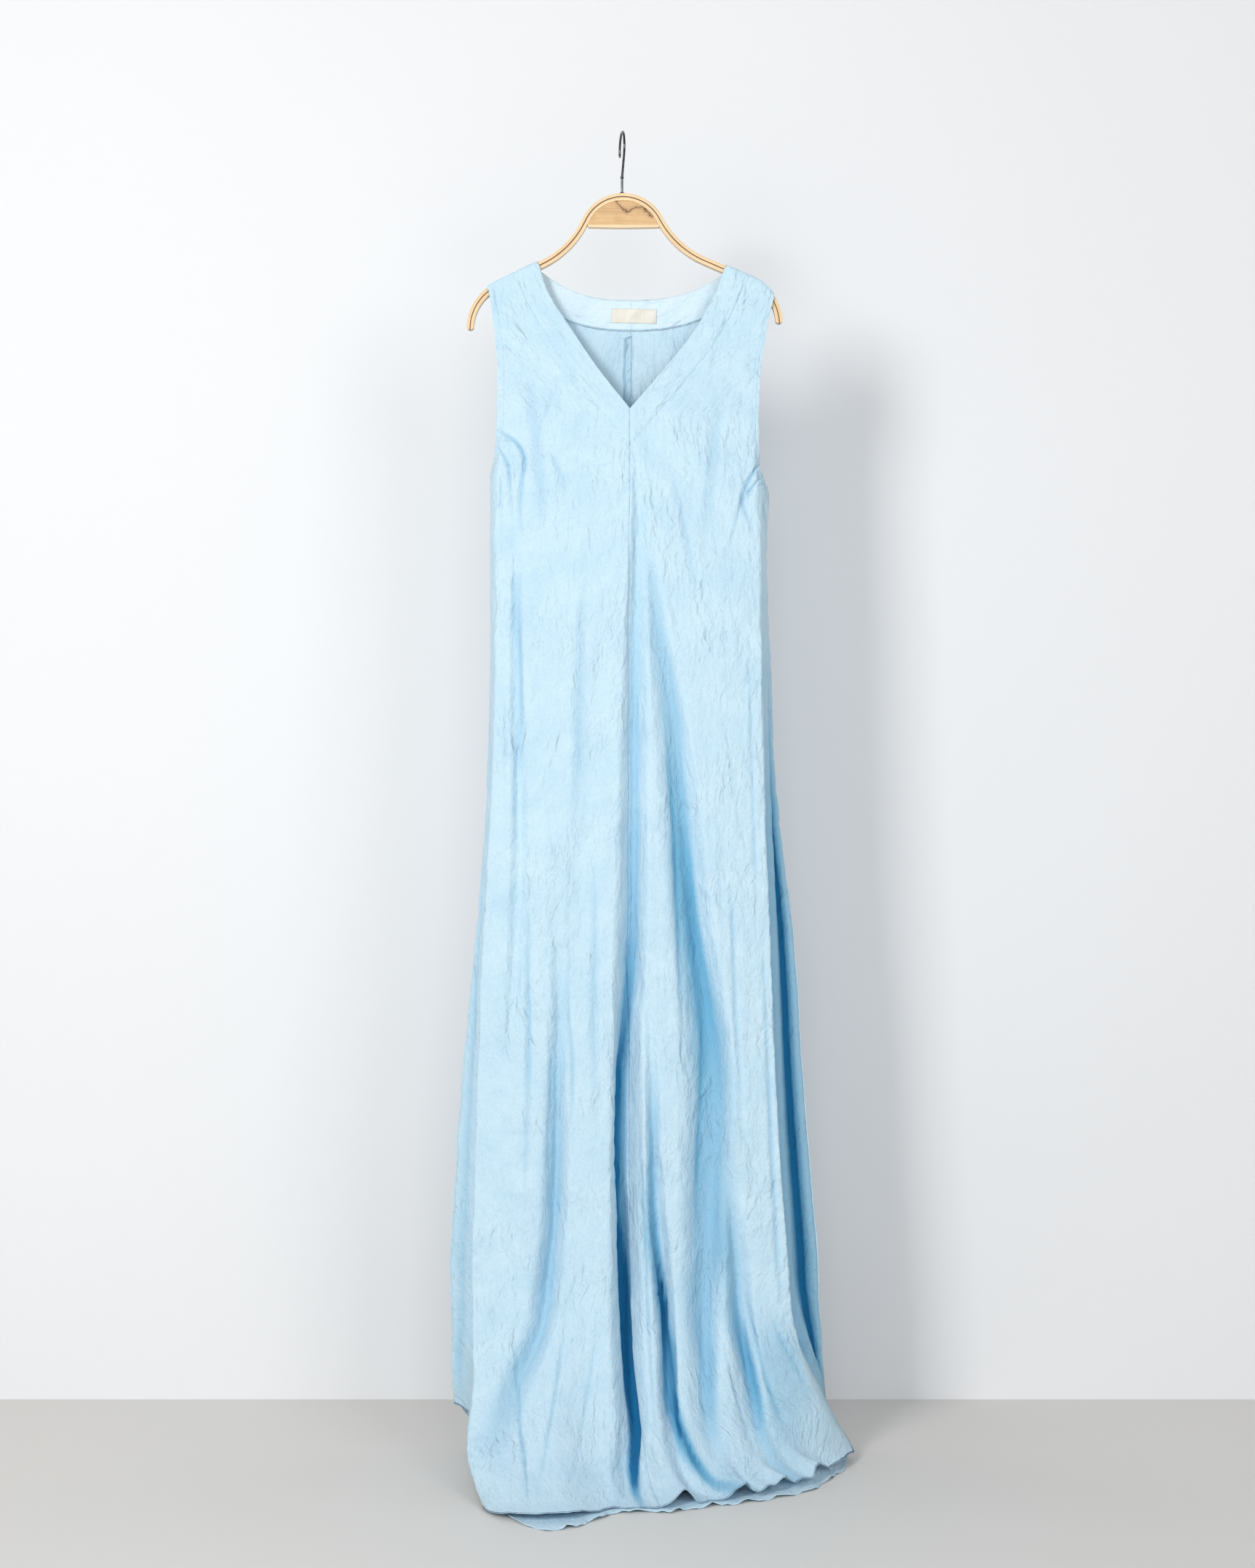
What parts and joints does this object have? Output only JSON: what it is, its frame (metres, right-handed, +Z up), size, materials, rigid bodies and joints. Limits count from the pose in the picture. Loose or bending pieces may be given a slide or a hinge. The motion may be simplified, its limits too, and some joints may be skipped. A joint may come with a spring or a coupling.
{
  "type": "sleeveless maxi sundress on a wooden hanger",
  "caption": "Long sleeveless V-neck linen sundress with a centre front seam, hung on a bent-ply wooden hanger with a steel hook; its front hem trails forward on the surface below.",
  "frame": {"origin": "inside of the top of the hanger's hook, where it rests on the rail that carries it", "axes": "+Z up, -Y towards the front of the dress, +X towards the wearer's left"},
  "size_m": [0.5118, 0.3625, 1.6759],
  "materials": {
    "linen": "matte woven linen, pale blue",
    "label": "woven cream tape",
    "light_wood": "satin clear varnish",
    "dark_wood": "dark veneer",
    "steel": "polished"
  },
  "bodies": {
    "root": {"front_right_panel": "linen", "front_left_panel": "linen", "back_right_panel": "linen", "back_left_panel": "linen", "front_right_neck_facing": "linen", "front_left_neck_facing": "linen", "back_neck_facing": "linen", "right_armhole_band": "linen", "left_armhole_band": "linen", "centre_back_seam_allowance": "linen", "neck_label": "label", "hanger_outer_ply": "light_wood", "hanger_inner_ply": "light_wood", "hanger_infill": "light_wood", "hanger_core_ply": "dark_wood", "hanger_hook": "steel", "hook_washer": "steel"}
  },
  "joints": []
}
